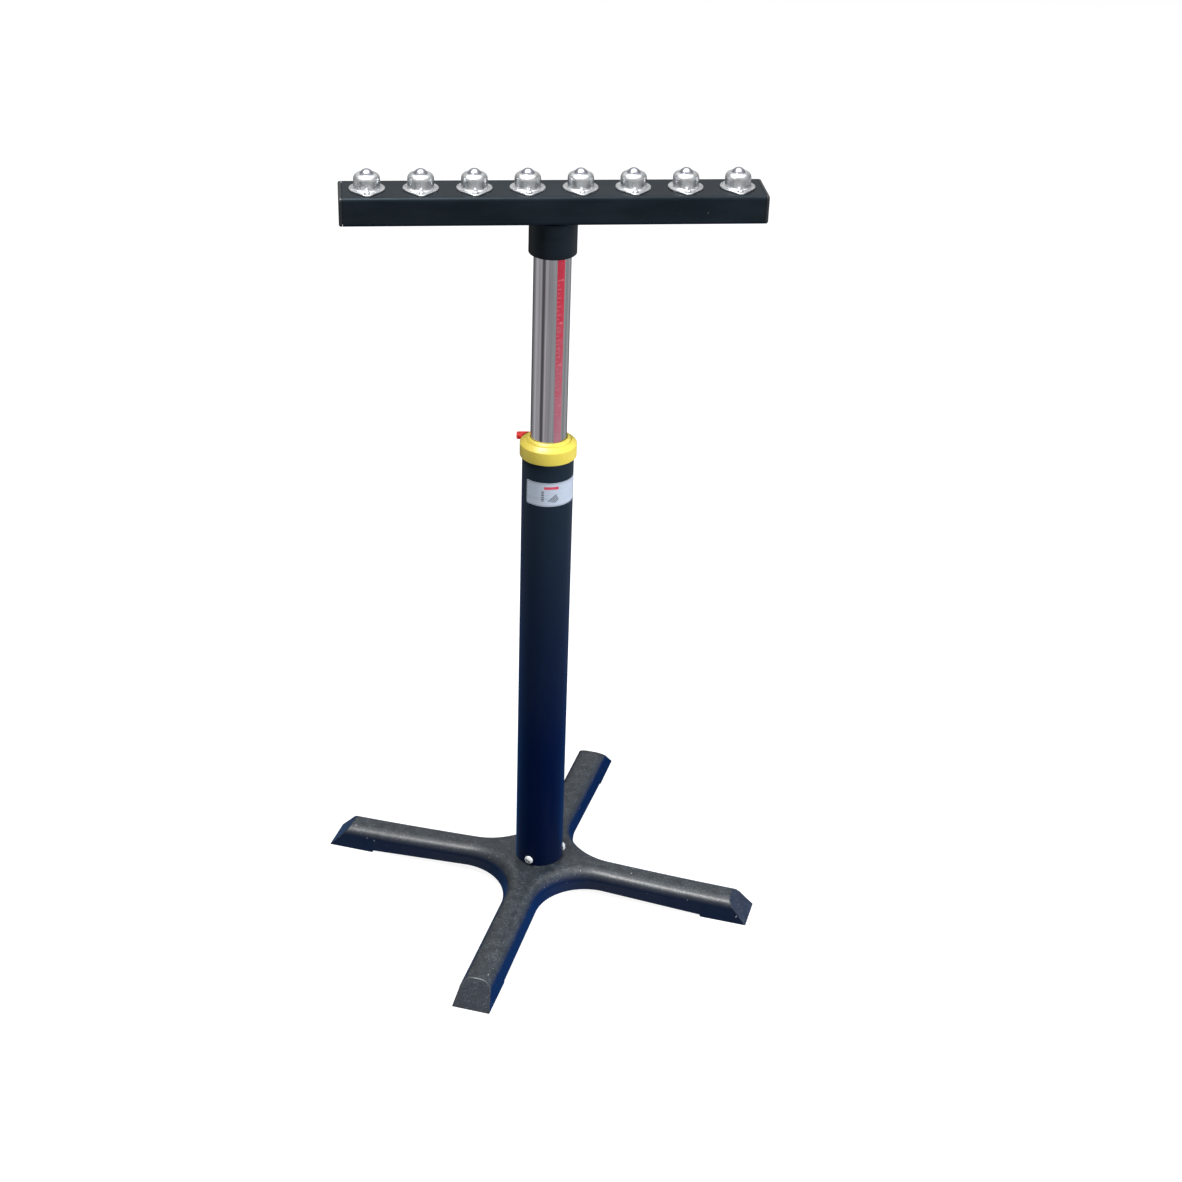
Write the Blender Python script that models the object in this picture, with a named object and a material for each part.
# Height-adjustable roller stand: a cast cross base, a steel column with a yellow
# locking collar, a chromed mast, and a cross bar that carries a row of ball units.
# Metres, +Z up. The origin is on the floor, on the axis of the column; the cross
# bar runs along X at rest.

import math

import bmesh
import bpy
from mathutils import Matrix, Vector

# Clearances
FIT = 0.0003              # gap between pieces that touch
SLIDE_FIT = 0.0003        # radial play of a sliding piece in its bore
PLATE_PLAY = 0.0005       # radial play of the locking plate on the mast
CUT_MARGIN = 0.010        # how far a cut runs past the surface it opens

# Cast cross base
ARM_REACH = 0.2810        # from the axis to the toe, at the floor
ARM_HALF_WIDTH = 0.0235   # at the floor
ARM_ANGLE = -22.0         # degrees, first of four arms
CROTCH_RADIUS = 0.066     # plan fillet between two arms
HUB_HEIGHT = 0.035
TOE_HEIGHT = 0.0285
TOE_SLOPE = 43.0          # degrees from upright
TOE_CORNER = 0.0015       # chamfer of the toe in plan
FLANK_INSET = 0.0035      # lean of the flank below the shoulder
SHOULDER_START = 0.58     # share of the height where the shoulder begins
SHOULDER_INSET = 0.0165
FOOT_LENGTH = 0.060       # the part of an arm that touches the floor
FOOT_DEPTH = 0.003
FOOT_STEP = 0.001         # length of the step up behind a foot
ARCH_RISE = 0.010         # clear height under the hub
CAST_WALL = 0.005
RIB_THICKNESS = 0.004
RIB_STATIONS = (0.118, 0.168)
RIB_RECESS = 0.002        # from the casting's lower edge up to a rib
SPIGOT_HEIGHT = 0.026     # above the hub
SPIGOT_WALL = 0.0075

# Column
COLUMN_RADIUS = 0.030
COLUMN_WALL = 0.002
COLUMN_LENGTH = 0.5787

# Column bolts
BOLT_COUNT = 3
BOLT_ANGLE = -121.0       # degrees, first bolt
BOLT_HEIGHT = 0.0080      # above the hub
BOLT_RADIUS = 0.003
BOLT_HEAD_RADIUS = 0.0050
BOLT_HEAD_DEPTH = 0.0034
BOLT_SOCKET_RADIUS = 0.0021
BOLT_SOCKET_DEPTH = 0.0018
BOLT_REACH = 0.0095       # shank length under the head

# Mast
MAST_RADIUS = 0.021
MAST_WALL = 0.002
MAST_LENGTH = 0.6055
MAST_OVERLAP = 0.329      # length hidden in the column at rest

# Guide bushes
TOP_GUIDE_LENGTH = 0.080
TOP_GUIDE_FLANGE = 0.002
LOWER_GUIDE_LENGTH = 0.050
GUIDE_LIP = 0.003
GUIDE_LIP_RADIUS = 0.015
GUIDE_LAND = 0.012        # length of each bearing land
GUIDE_RELIEF = 0.0012     # depth between the lands

# Locking collar
COLLAR_RADIUS = 0.0330
COLLAR_SKIRT = 0.0075     # overlap over the column
COLLAR_ROOF = 0.0064      # at the lip round the mast
COLLAR_CAVITY = 0.0070    # height of the room for the plate
COLLAR_WALL = 0.0044
COLLAR_CHAMFER = 0.0008
CONE_DROP = 0.0080        # from the lip down to the edge of the wall
LIP_RADIUS = 0.0226       # outer radius of the flat lip, where the cone begins
GROOVE_NEAR = 0.0257      # inner and outer radius of the groove in the cone
GROOVE_FAR = 0.0267
GROOVE_DEPTH = 0.0006

# Locking plate and lever
LEVER_ANGLE = 173.0       # degrees, direction of the lever
LEVER_DROOP = 2.0         # degrees below level when locked
LEVER_REACH = 0.0362      # from the axis to the end of the steel tail
PLATE_THICKNESS = 0.0022
PLATE_MARGIN = 0.0008     # between the plate and the collar wall
TAIL_WIDTH = 0.007
TAIL_OFFSET = -0.0185     # sideways from the axis to the middle of the tail
FULCRUM_RADIUS = 0.0255
FULCRUM_WIDTH = 0.009
FULCRUM_DEPTH = 0.004
FULCRUM_CHAMFER = 0.0012
FULCRUM_LIFT = 0.0042     # pad height above the guide flange
SLEEVE_WIDTH = 0.012
SLEEVE_BELOW = 0.0010     # thickness of the sleeve under, over and beyond the tail
SLEEVE_ABOVE = 0.0018
SLEEVE_END = 0.0012
SLEEVE_GAP = 0.0006       # between the sleeve and the collar
SLEEVE_CORNER = 0.0015
SLEEVE_CHAMFER = 0.0005
SLOT_PLAY = 0.0012
SLOT_LIFT = 0.0004        # room above the lifted tail

# Locking spring, an arched leaf
SPRING_STATION = 0.0244   # from the axis to the middle of the leaf
LEAF_LENGTH = 0.014
LEAF_WIDTH = 0.0048
LEAF_THICKNESS = 0.0004

# Head: socket and cross bar
SOCKET_RADIUS = 0.0268
SOCKET_LENGTH = 0.0398
SOCKET_CHAMFER = 0.001
WELD_LEG = 0.0022
BAR_LENGTH = 0.454
BAR_DEPTH = 0.060
BAR_HEIGHT = 0.032
BAR_WALL = 0.002
BAR_CORNER = 0.003
CAP_THICKNESS = 0.004
CAP_ROUNDING = 0.0016
PLUG_LENGTH = 0.014
PLUG_WALL = 0.002

# Ball units
BALL_COUNT = 8
END_MARGIN = 0.0268       # from the end of the bar to the middle of the last unit
BALL_RADIUS = 0.00794
BALL_TOP = 0.0220         # top of the ball above the foot of its housing
HOUSING_RADIUS = 0.01425
HOUSING_HEIGHT = 0.0172
HOUSING_WALL = 0.00125
HOUSING_SHOULDER = 0.006
FLANGE_THICKNESS = 0.0015
FLANGE_HALF_WIDTH = 0.0193
FLANGE_TIP_RADIUS = 0.0065
FLANGE_FILLET = 0.0015
CUP_HEIGHT = 0.012
CUP_CHAMFER = 0.0012

# Flange screws
SCREW_STATION = 0.0195    # from the middle of the unit
SCREW_RADIUS = 0.0017
SCREW_HEAD_RADIUS = 0.0034
SCREW_HEAD_HEIGHT = 0.0022
SCREW_REACH = 0.009       # shank length under the head

# Facets round a full turn, and along a small arc
FINE = 28
MEDIUM = 24
COARSE = 16
SLIM = 12
SMALL = 8
CROTCH_STEPS = 6
SHOULDER_STEPS = 3
CORNER_STEPS = 2
LEAF_STEPS = 8
SHARP_ANGLE = 35          # degrees, an edge bent more than this stays sharp
MERGE = 0.000001

# Heights and places that follow from the sizes above
COLUMN_FOOT = HUB_HEIGHT + FIT
COLUMN_TOP = COLUMN_FOOT + COLUMN_LENGTH
COLUMN_BORE = COLUMN_RADIUS - COLUMN_WALL
SPIGOT_RADIUS = COLUMN_BORE - FIT
GUIDE_TOP = COLUMN_TOP + FIT + TOP_GUIDE_FLANGE
CAVITY_FLOOR = GUIDE_TOP + FIT
CAVITY_ROOF = CAVITY_FLOOR + COLLAR_CAVITY
LIP_TOP = CAVITY_ROOF + COLLAR_ROOF
CONE_SLOPE = CONE_DROP / (COLLAR_RADIUS - LIP_RADIUS)
COLLAR_FOOT = COLUMN_TOP - COLLAR_SKIRT
CAVITY_RADIUS = COLLAR_RADIUS - COLLAR_WALL
HINGE_HEIGHT = GUIDE_TOP + FULCRUM_LIFT + FIT
MAST_FOOT = COLUMN_TOP - MAST_OVERLAP
MAST_TOP = MAST_FOOT + MAST_LENGTH
SOCKET_TOP = MAST_TOP + 2 * FIT
BAR_FOOT = SOCKET_TOP + FIT
BAR_TOP = BAR_FOOT + BAR_HEIGHT
BALL_PITCH = (BAR_LENGTH - 2 * END_MARGIN) / (BALL_COUNT - 1)
BALL_CENTRE = BALL_TOP - BALL_RADIUS


def clear_scene():
    for item in list(bpy.data.objects):
        bpy.data.objects.remove(item, do_unlink=True)


def material(name, colour, metallic, roughness):
    mat = bpy.data.materials.new(name)
    mat.use_nodes = True
    shader = mat.node_tree.nodes["Principled BSDF"]
    shader.inputs["Base Color"].default_value = (*colour, 1.0)
    shader.inputs["Metallic"].default_value = metallic
    shader.inputs["Roughness"].default_value = roughness
    return mat


def mesh_from(bm, name):
    bmesh.ops.remove_doubles(bm, verts=bm.verts, dist=MERGE)
    bmesh.ops.recalc_face_normals(bm, faces=bm.faces)
    mesh = bpy.data.meshes.new(name)
    bm.to_mesh(mesh)
    bm.free()
    mesh.shade_smooth()
    mesh.set_sharp_from_angle(angle=math.radians(SHARP_ANGLE))
    return mesh


def add_object(name, mesh, mat=None, location=(0, 0, 0), rotation=(0, 0, 0), parent=None):
    item = bpy.data.objects.new(name, mesh)
    bpy.context.collection.objects.link(item)
    item.location = location
    item.rotation_euler = rotation
    if parent:
        item.parent = parent
    if mat and not mesh.materials:
        mesh.materials.append(mat)
    return item


def add_empty(name, location, parent=None):
    item = bpy.data.objects.new(name, None)
    bpy.context.collection.objects.link(item)
    item.location = location
    item.parent = parent
    return item


def turned(name, profile, segments):
    # Spins (radius, height) points about Z. A profile that starts and ends on
    # the axis stays open there; any other is a closed loop.
    bm = bmesh.new()
    points = [bm.verts.new((radius, 0.0, height)) for radius, height in profile]
    edges = [bm.edges.new(pair) for pair in zip(points, points[1:])]
    if profile[0][0] > 0 or profile[-1][0] > 0:
        edges.append(bm.edges.new((points[-1], points[0])))
    bmesh.ops.spin(bm, geom=points + edges, cent=(0, 0, 0), axis=(0, 0, 1),
                   angle=2 * math.pi, steps=segments, use_merge=True)
    return mesh_from(bm, name)


def loft(name, rings, joined=False):
    # Skins rings that all have the same number of points. A joined loft closes
    # on its first ring; any other is capped at both ends.
    bm = bmesh.new()
    loops = [[bm.verts.new(point) for point in ring] for ring in rings]
    pairs = list(zip(loops, loops[1:]))
    if joined:
        pairs.append((loops[-1], loops[0]))
    for lower, upper in pairs:
        count = len(lower)
        for i in range(count):
            j = (i + 1) % count
            bm.faces.new((lower[i], lower[j], upper[j], upper[i]))
    if not joined:
        bm.faces.new(reversed(loops[0]))
        bm.faces.new(loops[-1])
    return mesh_from(bm, name)


def arc(centre, radius, start, end, steps):
    # Points on a circular arc, both ends included; angles in degrees.
    points = []
    for i in range(steps + 1):
        angle = math.radians(start + (end - start) * i / steps)
        points.append((centre[0] + radius * math.cos(angle),
                       centre[1] + radius * math.sin(angle)))
    return points


def rounded_rectangle(width, height, corner):
    points = []
    for k, (sx, sy) in enumerate(((1, 1), (-1, 1), (-1, -1), (1, -1))):
        centre = (sx * (width / 2 - corner), sy * (height / 2 - corner))
        points += arc(centre, corner, 90 * k, 90 * (k + 1), CORNER_STEPS)
    return points


def boolean(item, cutter, operation="DIFFERENCE"):
    cutter.hide_render = True
    cutter.display_type = "WIRE"
    modifier = item.modifiers.new(cutter.name, "BOOLEAN")
    modifier.operation = operation
    modifier.solver = "EXACT"
    modifier.object = cutter


def baked_mesh(item, name):
    # The mesh with its modifiers applied, for pieces that share it.
    graph = bpy.context.evaluated_depsgraph_get()
    mesh = bpy.data.meshes.new_from_object(item.evaluated_get(graph))
    mesh.name = name
    cutters = [modifier.object for modifier in item.modifiers]
    for old in [item] + cutters:
        bpy.data.objects.remove(old, do_unlink=True)
    return mesh


def cylinder(name, radius, foot, top, segments=MEDIUM):
    return turned(name, [(0, top), (radius, top), (radius, foot), (0, foot)], segments)


# Cross base

def arm_height(station):
    # Height of the casting's top, which falls from the hub to the toes.
    start = ARM_HALF_WIDTH + CROTCH_RADIUS / 3
    share = (station - start) / (ARM_REACH - start)
    share = min(max(share, 0.0), 1.0)
    return HUB_HEIGHT + (TOE_HEIGHT - HUB_HEIGHT) * math.sin(share * math.pi / 2)


def arch_height(station):
    # Height of the casting's lower edge, which touches the floor at the feet.
    foot = ARM_REACH - FOOT_LENGTH
    if station > foot:
        return 0.0
    share = min((foot - station) / (foot - ARM_HALF_WIDTH - CROTCH_RADIUS), 1.0)
    return FOOT_DEPTH + (ARCH_RISE - FOOT_DEPTH) * share


def cross_ring(inset, level, reach=ARM_REACH, slope=0.0):
    # One closed outline of the cross in plan, with the height of each point.
    # Also gives the number of points in each quarter.
    width = ARM_HALF_WIDTH - inset
    middle = ARM_HALF_WIDTH + CROTCH_RADIUS
    foot = ARM_REACH - FOOT_LENGTH
    end = reach - slope * level(reach)
    side = [middle + (foot - middle) * share for share in (0.35, 0.7)]
    side += [foot - FOOT_STEP / 2, foot + FOOT_STEP / 2, end - TOE_CORNER / 2]
    side = [station for station in side if station < end]
    quarter = [(end, width - TOE_CORNER)]
    quarter += [(station, width) for station in reversed(side)]
    quarter += arc((middle, middle), CROTCH_RADIUS + inset, -90, -180, CROTCH_STEPS)
    quarter += [(width, station) for station in side]
    quarter += [(width - TOE_CORNER, end)]
    points = []
    for k in range(4):
        turn = Matrix.Rotation(math.radians(ARM_ANGLE + 90 * k), 3, "Z")
        for x, y in quarter:
            points.append(turn @ Vector((x, y, level(max(x, y)))))
    return points, len(quarter)


def cross_loft(name, rings, quarter):
    # Skins the outlines and closes both ends arm by arm, so that the faces
    # follow the fall of each arm.
    bm = bmesh.new()
    loops = [[bm.verts.new(point) for point in ring] for ring in rings]
    count = len(loops[0])
    for lower, upper in zip(loops, loops[1:]):
        for i in range(count):
            j = (i + 1) % count
            bm.faces.new((lower[i], lower[j], upper[j], upper[i]))
    side = (quarter - CROTCH_STEPS - 1) // 2
    for loop, height in ((loops[0], rings[0]), (loops[-1], rings[-1])):
        hub = bm.verts.new((0, 0, max(point.z for point in height)))
        for k in range(4):
            for i in range(side):
                left = k * quarter + i
                right = (k * quarter - 1 - i) % count
                bm.faces.new((loop[left], loop[left + 1],
                              loop[(right - 1) % count], loop[right]))
            mouth = k * quarter + side
            bm.faces.new((loop[(k * quarter - 1 - side) % count], loop[mouth], hub))
            for i in range(mouth, mouth + CROTCH_STEPS):
                bm.faces.new((loop[i], loop[i + 1], hub))
    return mesh_from(bm, name)


def cross_body():
    rings = [cross_ring(0.0, arch_height)]
    slope = math.tan(math.radians(TOE_SLOPE))
    for turn in (0, 30, 60, 90):
        angle = math.radians(turn)
        inset = FLANK_INSET + SHOULDER_INSET * (1 - math.cos(angle))
        share = SHOULDER_START + (1 - SHOULDER_START) * math.sin(angle)
        rings.append(cross_ring(inset, lambda s, share=share: share * arm_height(s), slope=slope))
    return cross_loft("cross_base", [ring for ring, _ in rings], rings[0][1])


def cross_cavity():
    # The cored underside: open below, roofed by the casting's wall.
    reach = ARM_REACH - FOOT_LENGTH - CAST_WALL
    floor = cross_ring(CAST_WALL, lambda s: -CAST_WALL, reach)
    flank = cross_ring(CAST_WALL + FLANK_INSET, lambda s: SHOULDER_START * arm_height(s), reach)
    roof = cross_ring(CAST_WALL + FLANK_INSET + SHOULDER_INSET / 3,
                      lambda s: arm_height(s) - CAST_WALL, reach)
    mesh = cross_loft("cavity", [floor[0], flank[0], roof[0]], floor[1])
    cavity = add_object("cavity", mesh)
    boss = cylinder("boss", SPIGOT_RADIUS, ARCH_RISE, HUB_HEIGHT)
    boolean(cavity, add_object("boss", boss))
    bm = bmesh.new()
    size = Matrix.Diagonal((RIB_THICKNESS, 3 * ARM_HALF_WIDTH, HUB_HEIGHT - 2 * RIB_RECESS, 1))
    for k in range(4):
        turn = Matrix.Rotation(math.radians(ARM_ANGLE + 90 * k), 4, "Z")
        for station in RIB_STATIONS:
            place = Matrix.Translation((station, 0, arch_height(station) + HUB_HEIGHT / 2))
            bmesh.ops.create_cube(bm, size=1.0, matrix=turn @ place @ size)
    boolean(cavity, add_object("ribs", mesh_from(bm, "ribs")))
    return cavity


def bolt_places():
    for k in range(BOLT_COUNT):
        angle = math.radians(BOLT_ANGLE + 360 / BOLT_COUNT * k)
        yield k + 1, angle


def bolt_hole_cutter(name):
    # One radial hole per bolt, through the column wall and the spigot.
    walls = COLUMN_WALL + SPIGOT_WALL
    bm = bmesh.new()
    for _, angle in bolt_places():
        place = Matrix.Rotation(angle, 4, "Z") @ Matrix.Translation(
            (COLUMN_RADIUS - walls / 2, 0, HUB_HEIGHT + BOLT_HEIGHT))
        bmesh.ops.create_cone(bm, cap_ends=True, segments=SLIM, radius1=BOLT_RADIUS + FIT,
                              radius2=BOLT_RADIUS + FIT, depth=2 * walls,
                              matrix=place @ Matrix.Rotation(math.pi / 2, 4, "Y"))
    return add_object(name, mesh_from(bm, name))


def make_base(mat):
    base = add_object("cross_base", cross_body(), mat)
    top = HUB_HEIGHT + SPIGOT_HEIGHT
    spigot = cylinder("spigot", SPIGOT_RADIUS, HUB_HEIGHT / 2, top, FINE)
    boolean(base, add_object("spigot", spigot), "UNION")
    boolean(base, cross_cavity())
    bore = cylinder("bore", SPIGOT_RADIUS - SPIGOT_WALL, -CUT_MARGIN, top + CUT_MARGIN)
    boolean(base, add_object("bore", bore))
    boolean(base, bolt_hole_cutter("spigot_holes"))


def make_column(mat):
    profile = [(COLUMN_RADIUS, COLUMN_TOP), (COLUMN_RADIUS, COLUMN_FOOT),
               (COLUMN_BORE, COLUMN_FOOT), (COLUMN_BORE, COLUMN_TOP)]
    column = add_object("column", turned("column", profile, FINE), mat)
    boolean(column, bolt_hole_cutter("column_holes"))


def make_bolts(mat):
    # Button-head bolts, drawn along +Z with the head's seat at zero.
    crown = arc((0, 0), 1, 90, 20, 2)
    head = [(x * BOLT_HEAD_RADIUS, y * BOLT_HEAD_DEPTH) for x, y in crown]
    head[0] = (0, BOLT_HEAD_DEPTH)
    profile = head + [(BOLT_HEAD_RADIUS, 0), (BOLT_RADIUS, 0),
                      (BOLT_RADIUS, -BOLT_REACH), (0, -BOLT_REACH)]
    blank = add_object("bolt_blank", turned("bolt_blank", profile, SLIM))
    socket = cylinder("socket", BOLT_SOCKET_RADIUS, BOLT_HEAD_DEPTH - BOLT_SOCKET_DEPTH,
                      2 * BOLT_HEAD_DEPTH, 6)
    boolean(blank, add_object("socket", socket))
    mesh = baked_mesh(blank, "column_bolt")
    seat = COLUMN_RADIUS + FIT
    for number, angle in bolt_places():
        add_object(f"column_bolt_{number}", mesh, mat,
                   (seat * math.cos(angle), seat * math.sin(angle), HUB_HEIGHT + BOLT_HEIGHT),
                   (0, math.pi / 2, angle))


# Guides and mast

def make_top_guide(mat):
    outer = COLUMN_BORE - FIT
    bore = MAST_RADIUS + SLIDE_FIT
    foot = GUIDE_TOP - TOP_GUIDE_LENGTH
    relief = bore + GUIDE_RELIEF
    seat = COLUMN_TOP + FIT
    profile = [(COLUMN_RADIUS - FIT, GUIDE_TOP), (COLUMN_RADIUS - FIT, seat), (outer, seat),
               (outer, foot), (bore, foot), (bore, foot + GUIDE_LAND),
               (relief, foot + GUIDE_LAND + GUIDE_RELIEF),
               (relief, GUIDE_TOP - GUIDE_LAND - GUIDE_RELIEF),
               (bore, GUIDE_TOP - GUIDE_LAND), (bore, GUIDE_TOP)]
    guide = add_object("top_guide", turned("top_guide", profile, FINE), mat)
    half = FULCRUM_WIDTH / 2
    depth = FULCRUM_DEPTH / 2
    pad_top = GUIDE_TOP + FULCRUM_LIFT
    steps = [(GUIDE_TOP - TOP_GUIDE_FLANGE / 2, depth), (pad_top - FULCRUM_CHAMFER, depth),
             (pad_top, depth - FULCRUM_CHAMFER)]
    rings = [[(reach, half, z), (-reach, half, z), (-reach, -half, z), (reach, -half, z)]
             for z, reach in steps]
    x, y, _ = hinge_place()
    pad = add_object("fulcrum_pad", loft("fulcrum_pad", rings), None, (x, y, 0),
                     (0, 0, math.radians(LEVER_ANGLE)))
    boolean(guide, pad, "UNION")


def make_lower_guide(mat, slide):
    outer = COLUMN_BORE - SLIDE_FIT
    bore = MAST_RADIUS + FIT
    foot = -FIT - GUIDE_LIP
    top = foot + LOWER_GUIDE_LENGTH
    waist = outer - GUIDE_RELIEF
    profile = [(outer, top), (outer, top - GUIDE_LAND), (waist, top - GUIDE_LAND - GUIDE_RELIEF),
               (waist, foot + GUIDE_LAND + GUIDE_RELIEF), (outer, foot + GUIDE_LAND),
               (outer, foot), (GUIDE_LIP_RADIUS, foot), (GUIDE_LIP_RADIUS, foot + GUIDE_LIP),
               (bore, foot + GUIDE_LIP), (bore, top)]
    add_object("lower_guide", turned("lower_guide", profile, FINE), mat, parent=slide)


def make_mast(mat, pivot):
    inner = MAST_RADIUS - MAST_WALL
    profile = [(MAST_RADIUS, MAST_LENGTH), (MAST_RADIUS, 0), (inner, 0), (inner, MAST_LENGTH)]
    add_object("mast", turned("mast", profile, FINE), mat, parent=pivot)


# Locking collar

def hinge_place():
    # The plate tilts on the fulcrum pad, across the mast from the lever.
    angle = math.radians(LEVER_ANGLE)
    return (-FULCRUM_RADIUS * math.cos(angle), -FULCRUM_RADIUS * math.sin(angle), HINGE_HEIGHT)


def cone_height(radius):
    return LIP_TOP - CONE_SLOPE * (radius - LIP_RADIUS)


def make_collar(mat):
    skirt = COLUMN_RADIUS + FIT
    mouth = MAST_RADIUS + PLATE_PLAY
    edge = COLLAR_RADIUS - COLLAR_CHAMFER
    groove = cone_height(GROOVE_FAR) - GROOVE_DEPTH
    profile = [(mouth, LIP_TOP), (LIP_RADIUS, LIP_TOP), (GROOVE_NEAR, cone_height(GROOVE_NEAR)),
               (GROOVE_NEAR, groove), (GROOVE_FAR, groove), (GROOVE_FAR, cone_height(GROOVE_FAR)),
               (edge, cone_height(edge)),
               (COLLAR_RADIUS, cone_height(COLLAR_RADIUS) - COLLAR_CHAMFER),
               (COLLAR_RADIUS, COLLAR_FOOT + COLLAR_CHAMFER), (edge, COLLAR_FOOT),
               (skirt, COLLAR_FOOT), (skirt, CAVITY_FLOOR), (CAVITY_RADIUS, CAVITY_FLOOR),
               (CAVITY_RADIUS, CAVITY_ROOF), (mouth, CAVITY_ROOF)]
    collar = add_object("collar", turned("collar", profile, FINE), mat)
    drop = (LEVER_REACH + FULCRUM_RADIUS) * math.sin(math.radians(LEVER_DROOP))
    low = HINGE_HEIGHT - drop - SLOT_PLAY
    high = HINGE_HEIGHT + PLATE_THICKNESS + SLOT_LIFT
    half = TAIL_WIDTH / 2 + SLOT_PLAY
    near = math.sqrt(CAVITY_RADIUS ** 2 - (abs(TAIL_OFFSET) + half) ** 2) - SLOT_PLAY
    far = COLLAR_RADIUS + CUT_MARGIN
    rings = [[(near, TAIL_OFFSET - half, z), (far, TAIL_OFFSET - half, z),
              (far, TAIL_OFFSET + half, z), (near, TAIL_OFFSET + half, z)] for z in (low, high)]
    slot = add_object("lever_slot", loft("lever_slot", rings), None,
                      rotation=(0, 0, math.radians(LEVER_ANGLE)))
    boolean(collar, slot)


def make_lock_plate(mat, pivot):
    # A ring with a tail at one side, drawn from the fulcrum along the lever. Its
    # bore is centred on the mast while the plate leans. Gives the axis and the tip.
    droop = math.radians(LEVER_DROOP)
    centre = (FULCRUM_RADIUS - PLATE_THICKNESS / 2 * math.sin(droop)) / math.cos(droop)
    outer = CAVITY_RADIUS - PLATE_MARGIN
    near = TAIL_OFFSET + TAIL_WIDTH / 2
    far = TAIL_OFFSET - TAIL_WIDTH / 2
    tip = centre + LEVER_REACH
    rim = arc((centre, 0), outer, math.degrees(math.asin(near / outer)),
              360 + math.degrees(math.asin(far / outer)), MEDIUM)
    outline = [(tip, near)] + rim + [(tip, far)]
    rings = [[(x, y, z) for x, y in outline] for z in (0, PLATE_THICKNESS)]
    plate = add_object("lock_plate", loft("lock_plate", rings), mat, parent=pivot)
    bore = cylinder("plate_bore", MAST_RADIUS + PLATE_PLAY, -PLATE_THICKNESS, 2 * PLATE_THICKNESS)
    boolean(plate, add_object("plate_bore", bore, None, (centre, 0, 0), parent=pivot))
    return centre, tip


def sleeve_outline(centre, tip, inset):
    # Follows the collar on one side and is square, with two cut corners, at the tip.
    reach = COLLAR_RADIUS + SLEEVE_GAP + inset
    near = TAIL_OFFSET + SLEEVE_WIDTH / 2 - inset
    far = TAIL_OFFSET - SLEEVE_WIDTH / 2 + inset
    end = tip + SLEEVE_END - inset
    points = arc((centre, 0), reach, math.degrees(math.asin(near / reach)),
                 math.degrees(math.asin(far / reach)), SHOULDER_STEPS)
    return points + [(end - SLEEVE_CORNER, far), (end, far + SLEEVE_CORNER),
                     (end, near - SLEEVE_CORNER), (end - SLEEVE_CORNER, near)]


def make_lever_sleeve(mat, pivot, centre, tip):
    # A moulded cap pushed over the end of the tail.
    low = -SLEEVE_BELOW
    high = PLATE_THICKNESS + SLEEVE_ABOVE
    levels = ((SLEEVE_CHAMFER, low), (0, low + SLEEVE_CHAMFER), (0, high - SLEEVE_CHAMFER),
              (SLEEVE_CHAMFER, high))
    rings = [[(x, y, z) for x, y in sleeve_outline(centre, tip, inset)] for inset, z in levels]
    sleeve = add_object("lever_sleeve", loft("lever_sleeve", rings), mat, parent=pivot)
    half = TAIL_WIDTH / 2 + FIT
    rings = [[(centre, TAIL_OFFSET - half, z), (tip + FIT, TAIL_OFFSET - half, z),
              (tip + FIT, TAIL_OFFSET + half, z), (centre, TAIL_OFFSET + half, z)]
             for z in (-FIT, PLATE_THICKNESS + FIT)]
    boolean(sleeve, add_object("sleeve_pocket", loft("sleeve_pocket", rings), parent=pivot))


def make_lock_spring(mat):
    # The crown of the arch bears on the collar's roof, its two ends on the plate.
    droop = math.radians(LEVER_DROOP)
    near = SPRING_STATION - LEAF_WIDTH / 2
    far = SPRING_STATION + LEAF_WIDTH / 2
    ends = HINGE_HEIGHT + PLATE_THICKNESS - (FULCRUM_RADIUS + near) * math.sin(droop) + FIT
    rise = CAVITY_ROOF - FIT - LEAF_THICKNESS - ends
    rings = []
    for i in range(LEAF_STEPS + 1):
        share = 2 * i / LEAF_STEPS - 1
        y = share * LEAF_LENGTH / 2
        low = ends + rise * (1 - share ** 2)
        high = low + LEAF_THICKNESS
        rings.append([(near, y, low), (far, y, low), (far, y, high), (near, y, high)])
    add_object("lock_spring", loft("lock_spring", rings), mat,
               rotation=(0, 0, math.radians(LEVER_ANGLE)))


# Head

def make_socket(mat, pivot):
    top = SOCKET_TOP - MAST_FOOT
    foot = top - SOCKET_LENGTH
    bore = MAST_RADIUS + FIT
    profile = [(SOCKET_RADIUS + WELD_LEG, top), (SOCKET_RADIUS + WELD_LEG, top - FIT),
               (SOCKET_RADIUS, top - WELD_LEG), (SOCKET_RADIUS, foot + SOCKET_CHAMFER),
               (SOCKET_RADIUS - SOCKET_CHAMFER, foot), (bore, foot), (bore, top)]
    add_object("head_socket", turned("head_socket", profile, FINE), mat, parent=pivot)


def section_ring(x, inset):
    # The bar's section, shrunk by an inset, in the YZ plane about its middle.
    # Its corners stay parallel to the bar's, with a small least radius.
    corner = max(BAR_CORNER - inset, BAR_CORNER / 5)
    points = rounded_rectangle(BAR_DEPTH - 2 * inset, BAR_HEIGHT - 2 * inset, corner)
    return [(x, y, z) for y, z in points]


def ball_places():
    for k in range(BALL_COUNT):
        yield k + 1, (k - (BALL_COUNT - 1) / 2) * BALL_PITCH


def screw_hole_cutter(name, places, depth):
    bm = bmesh.new()
    for x in places:
        for side in (-1, 1):
            bmesh.ops.create_cone(bm, cap_ends=True, segments=SMALL, depth=depth,
                                  radius1=SCREW_RADIUS + FIT, radius2=SCREW_RADIUS + FIT,
                                  matrix=Matrix.Translation((x, side * SCREW_STATION, 0)))
    return mesh_from(bm, name)


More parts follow.
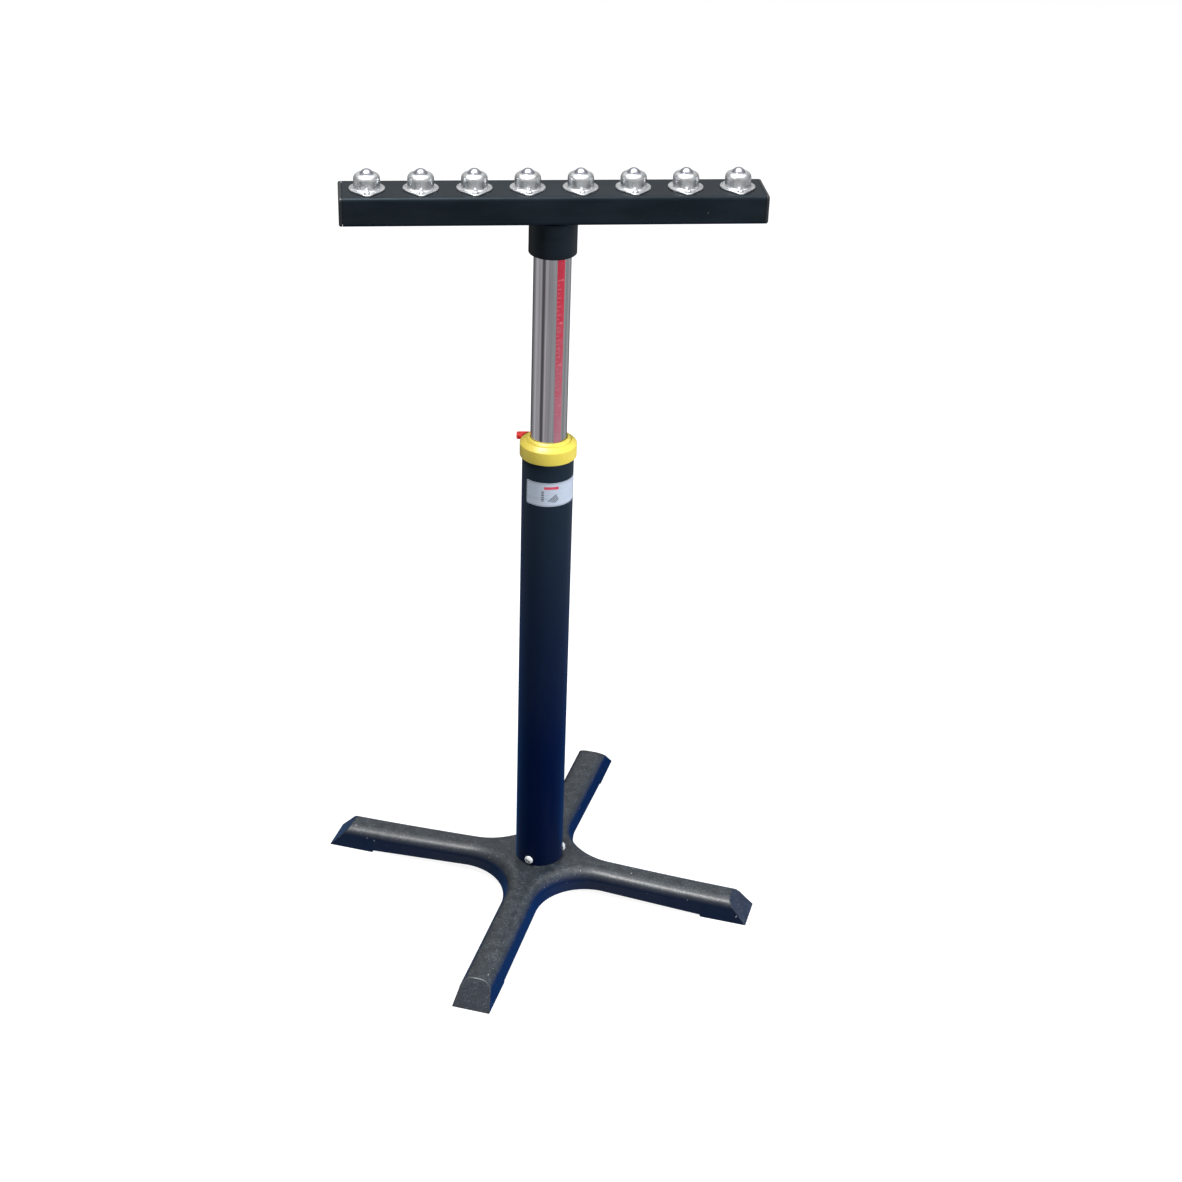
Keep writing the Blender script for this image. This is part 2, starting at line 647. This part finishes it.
def make_bar(mat, head):
    half = BAR_LENGTH / 2
    rings = [section_ring(-half, 0), section_ring(half, 0),
             section_ring(half, BAR_WALL), section_ring(-half, BAR_WALL)]
    middle = (0, 0, -BAR_HEIGHT / 2)
    bar = add_object("cross_bar", loft("cross_bar", rings, joined=True), mat, middle, parent=head)
    holes = screw_hole_cutter("bar_holes", [x for _, x in ball_places()], 4 * BAR_WALL)
    boolean(bar, add_object("bar_holes", holes, parent=head))


def make_end_caps(mat, head):
    plug = BAR_WALL + FIT
    hollow = plug + PLUG_WALL
    rings = [section_ring(CAP_THICKNESS, CAP_ROUNDING),
             section_ring(CAP_THICKNESS - CAP_ROUNDING * 0.3, CAP_ROUNDING * 0.3),
             section_ring(CAP_THICKNESS - CAP_ROUNDING, 0), section_ring(FIT, 0),
             section_ring(FIT, plug), section_ring(-PLUG_LENGTH, plug),
             section_ring(-PLUG_LENGTH, hollow), section_ring(0, hollow)]
    mesh = loft("end_cap", rings)
    for name, side in (("end_cap_left", -1), ("end_cap_right", 1)):
        add_object(name, mesh, mat, (side * BAR_LENGTH / 2, 0, -BAR_HEIGHT / 2),
                   (0, 0, 0 if side > 0 else math.pi), head)


# Ball units

def flange_outline():
    # Two small tip arcs and two wide waist arcs, joined by their tangents.
    lean = math.degrees(math.acos((FLANGE_HALF_WIDTH - FLANGE_TIP_RADIUS) / SCREW_STATION))
    points = []
    for turn in (0, 180):
        side = 1 if turn == 0 else -1
        points += arc((0, 0), FLANGE_HALF_WIDTH, turn - lean, turn + lean, SHOULDER_STEPS)
        points += arc((0, side * SCREW_STATION), FLANGE_TIP_RADIUS,
                      turn + lean, turn + 180 - lean, SHOULDER_STEPS)
    return points


def housing_mesh():
    # A pressed shell: a round blank is turned, then trimmed to the flange's
    # outline and pierced for its two screws.
    rim = SCREW_STATION + 2 * FLANGE_TIP_RADIUS
    lip = BALL_RADIUS + FIT
    lip_level = HOUSING_HEIGHT - BALL_CENTRE
    under_level = lip_level - HOUSING_WALL
    corner = (HOUSING_RADIUS - HOUSING_SHOULDER, HOUSING_HEIGHT - HOUSING_SHOULDER)
    bore = HOUSING_RADIUS - HOUSING_WALL
    profile = [(rim, FLANGE_THICKNESS), (HOUSING_RADIUS + FLANGE_FILLET, FLANGE_THICKNESS),
               (HOUSING_RADIUS, FLANGE_THICKNESS + FLANGE_FILLET)]
    profile += arc(corner, HOUSING_SHOULDER, 0, 90, SHOULDER_STEPS)
    profile += [(math.sqrt(lip ** 2 - lip_level ** 2), HOUSING_HEIGHT),
                (math.sqrt(lip ** 2 - under_level ** 2), HOUSING_HEIGHT - HOUSING_WALL)]
    profile += arc(corner, HOUSING_SHOULDER - HOUSING_WALL, 90, 0, 1)
    profile += [(bore, 0), (rim, 0)]
    blank = add_object("housing_blank", turned("housing_blank", profile, COARSE))
    trim = [[(x, y, z) for x, y in flange_outline()] for z in (-BALL_TOP, BALL_TOP)]
    boolean(blank, add_object("trim", loft("trim", trim)), "INTERSECT")
    holes = screw_hole_cutter("flange_holes", [0.0], 4 * FLANGE_THICKNESS)
    boolean(blank, add_object("flange_holes", holes))
    return baked_mesh(blank, "ball_housing")


def cup_mesh():
    # Hardened cup; its seat stands for the track of small balls.
    outer = HOUSING_RADIUS - HOUSING_WALL - FIT
    seat = BALL_RADIUS + FIT
    sink = math.degrees(math.asin((BALL_CENTRE - CUP_HEIGHT) / seat))
    hollow = arc((0, BALL_CENTRE), seat, -sink, -90, SHOULDER_STEPS + 1)
    hollow[-1] = (0, hollow[-1][1])
    profile = list(reversed(hollow))
    profile += [(outer - CUP_CHAMFER, CUP_HEIGHT), (outer, CUP_HEIGHT - CUP_CHAMFER),
                (outer, 0), (0, 0)]
    return turned("ball_cup", profile, COARSE)


def ball_mesh():
    profile = arc((0, 0), BALL_RADIUS, 90, -90, SLIM // 2)
    profile[0] = (0, BALL_RADIUS)
    profile[-1] = (0, -BALL_RADIUS)
    return turned("load_ball", profile, SLIM)


def screw_mesh():
    crown = arc((0, 0), 1, 90, 30, 1)
    head = [(x * SCREW_HEAD_RADIUS, y * SCREW_HEAD_HEIGHT) for x, y in crown]
    head[0] = (0, SCREW_HEAD_HEIGHT)
    profile = head + [(SCREW_HEAD_RADIUS, 0), (SCREW_RADIUS, 0),
                      (SCREW_RADIUS, -SCREW_REACH), (0, -SCREW_REACH)]
    return turned("flange_screw", profile, SMALL)


def make_ball_units(steel, bright, zinc, head):
    housing = housing_mesh()
    cup = cup_mesh()
    ball = ball_mesh()
    screw = screw_mesh()
    seat = 2 * FIT + FLANGE_THICKNESS
    for number, x in ball_places():
        add_object(f"ball_housing_{number}", housing, steel, (x, 0, FIT), parent=head)
        add_object(f"ball_cup_{number}", cup, bright, (x, 0, FIT), parent=head)
        add_object(f"load_ball_{number}", ball, bright, (x, 0, FIT + BALL_CENTRE), parent=head)
        for place, side in (("front", -1), ("back", 1)):
            add_object(f"flange_screw_{place}_{number}", screw, zinc,
                       (x, side * SCREW_STATION, seat), parent=head)


def main():
    clear_scene()
    cast = material("cast iron", (0.055, 0.062, 0.068), 0.3, 0.6)
    navy = material("navy paint", (0.010, 0.014, 0.045), 0.2, 0.4)
    black = material("black paint", (0.020, 0.024, 0.032), 0.2, 0.35)
    chrome = material("chrome", (0.80, 0.81, 0.84), 1.0, 0.08)
    zinc = material("zinc", (0.72, 0.74, 0.76), 1.0, 0.25)
    steel = material("pressed steel", (0.74, 0.76, 0.78), 1.0, 0.18)
    bright = material("ball steel", (0.84, 0.85, 0.87), 1.0, 0.06)
    spring_steel = material("spring steel", (0.45, 0.46, 0.48), 1.0, 0.3)
    yellow = material("yellow plastic", (0.87, 0.72, 0.08), 0.0, 0.4)
    red = material("red plastic", (0.75, 0.03, 0.03), 0.0, 0.4)
    nylon = material("guide plastic", (0.10, 0.10, 0.11), 0.0, 0.5)
    cap = material("black plastic", (0.02, 0.02, 0.023), 0.0, 0.45)

    make_base(cast)
    make_column(navy)
    make_bolts(zinc)
    make_top_guide(nylon)
    make_collar(yellow)
    make_lock_spring(spring_steel)

    lever = add_empty("lever_pivot", hinge_place())
    lever.rotation_euler = (0, math.radians(LEVER_DROOP), math.radians(LEVER_ANGLE))
    centre, tip = make_lock_plate(spring_steel, lever)
    make_lever_sleeve(red, lever, centre, tip)

    slide = add_empty("lift_slide", (0, 0, MAST_FOOT))
    make_lower_guide(nylon, slide)
    pivot = add_empty("head_pivot", (0, 0, 0), slide)
    make_mast(chrome, pivot)
    make_socket(black, pivot)
    head = add_empty("bar_top", (0, 0, BAR_TOP - MAST_FOOT), pivot)
    make_bar(black, head)
    make_end_caps(cap, head)
    make_ball_units(steel, bright, zinc, head)


main()
